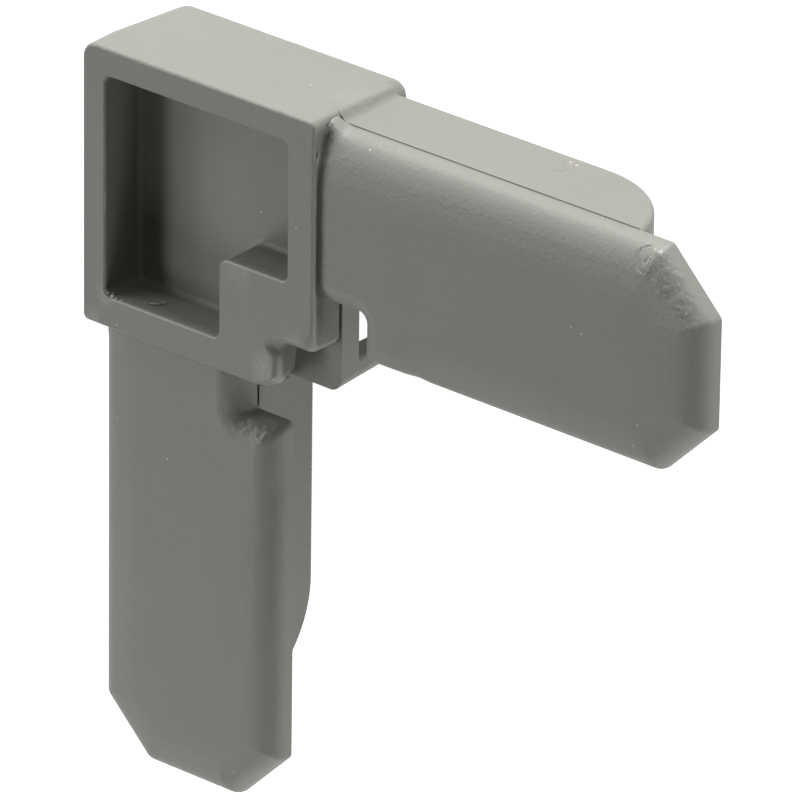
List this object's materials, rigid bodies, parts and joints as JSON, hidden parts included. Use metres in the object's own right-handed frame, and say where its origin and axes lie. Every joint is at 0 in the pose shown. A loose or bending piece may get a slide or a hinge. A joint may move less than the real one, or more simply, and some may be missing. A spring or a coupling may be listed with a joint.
{
  "type": "screen frame corner",
  "caption": "Moulded corner for a window screen's tube frame: a square block with a shallow pocket and flat legs at right angles that push into the tube ends.",
  "frame": {"origin": "on the block's back face, where the centre lines of the two frame tubes cross", "axes": "+Z out of the block's front face, towards the side with the pocket; the legs run along +X and +Y, so the plane X = Y mirrors one into the other"},
  "size_m": [0.0496, 0.0496, 0.0095],
  "materials": {
    "moulding": "fine matte as moulded, with a soft sheen on rounded edges"
  },
  "bodies": {
    "root": {"frame_corner": "moulding"}
  },
  "joints": []
}
